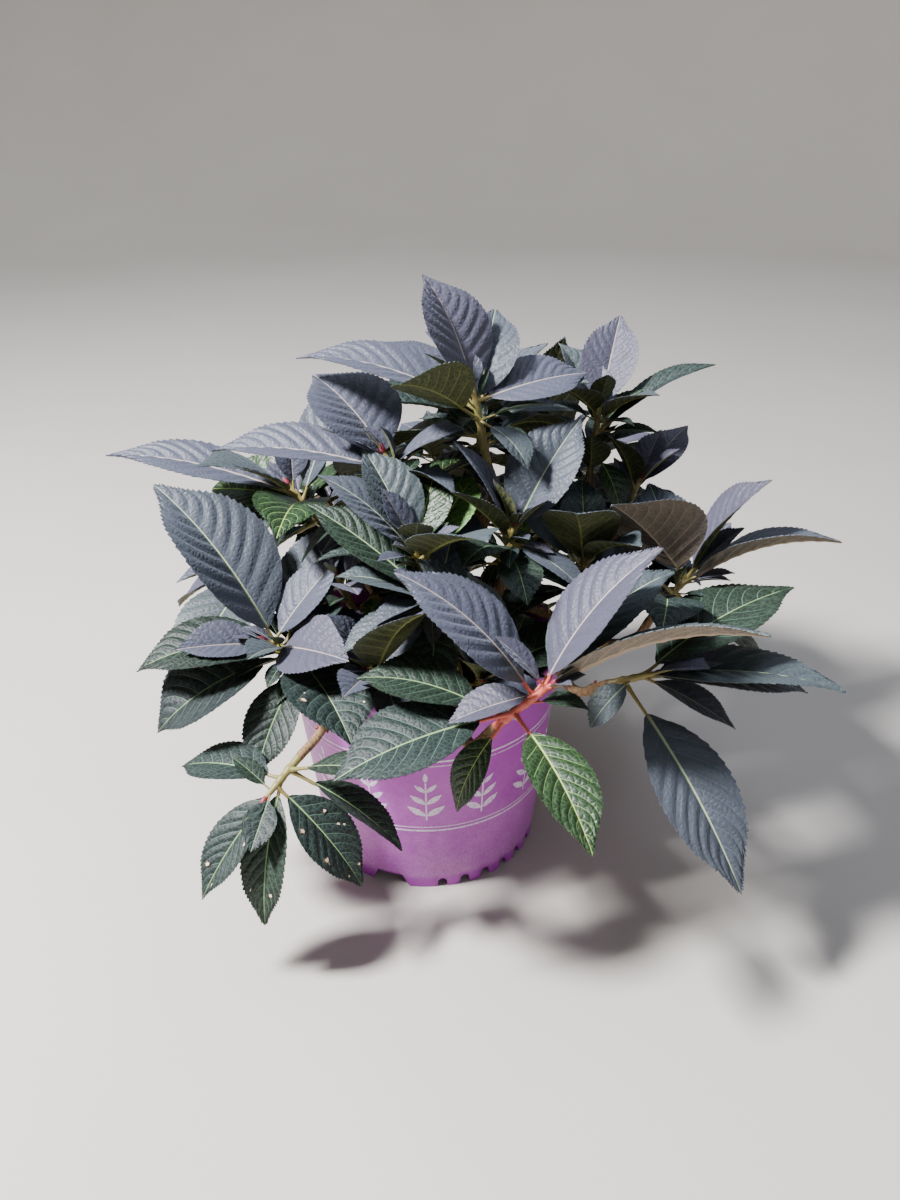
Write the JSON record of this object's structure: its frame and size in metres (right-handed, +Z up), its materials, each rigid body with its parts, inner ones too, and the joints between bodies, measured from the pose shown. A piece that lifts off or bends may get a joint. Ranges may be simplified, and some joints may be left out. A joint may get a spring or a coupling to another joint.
{
  "type": "potted hydrangea shrub",
  "caption": "Dark-leaved hydrangea shrub without flowers, growing from branching canes in a tapered nursery pot with a stepped rim and a notched foot.",
  "frame": {"origin": "centre of the pot's flat underside, on the pot's axis", "axes": "+Z up along the pot's axis; -Y faces the viewer of the picture and +X is to the viewer's right"},
  "size_m": [0.5476, 0.5158, 0.4543],
  "materials": {
    "pot": "moulded polypropylene, satin, dusty",
    "potting_mix": "loose bark and peat, matt",
    "canes": "thin tan bark, matt",
    "leaves": "quilted leaf, satin above and matt below"
  },
  "bodies": {
    "root": {"branch_back_left": "canes", "branch_back_low": "canes", "branch_back_low_left": "canes", "branch_back_low_right": "canes", "branch_back_right": "canes", "branch_centre": "canes", "branch_centre_front": "canes", "branch_hollow_left": "canes", "branch_low_left": "canes", "branch_middle_right": "canes", "branch_right_back": "canes", "branch_side_left": "canes", "branch_top_back": "canes", "cane_back": "canes", "cane_centre_low": "canes", "cane_centre_right": "canes", "cane_crown_top": "canes", "cane_front": "canes", "cane_left": "canes", "cane_left_back": "canes", "cane_right": "canes", "cane_right_low": "canes", "cane_rim_left": "canes", "cane_upper_left": "canes", "cane_upper_right": "canes", "pot": "pot", "potting_mix": "potting_mix", "shoot_back": "leaves", "shoot_back_left": "leaves", "shoot_back_low": "leaves", "shoot_back_low_left": "leaves", "shoot_back_low_right": "leaves", "shoot_back_right": "leaves", "shoot_centre": "leaves", "shoot_centre_front": "leaves", "shoot_centre_low": "leaves", "shoot_centre_right": "leaves", "shoot_crown_top": "leaves", "shoot_front": "leaves", "shoot_hollow_left": "leaves", "shoot_left": "leaves", "shoot_left_back": "leaves", "shoot_low_left": "leaves", "shoot_middle_right": "leaves", "shoot_right": "leaves", "shoot_right_back": "leaves", "shoot_right_low": "leaves", "shoot_rim_left": "leaves", "shoot_side_left": "leaves", "shoot_top_back": "leaves", "shoot_upper_left": "leaves", "shoot_upper_right": "leaves"}
  },
  "joints": []
}
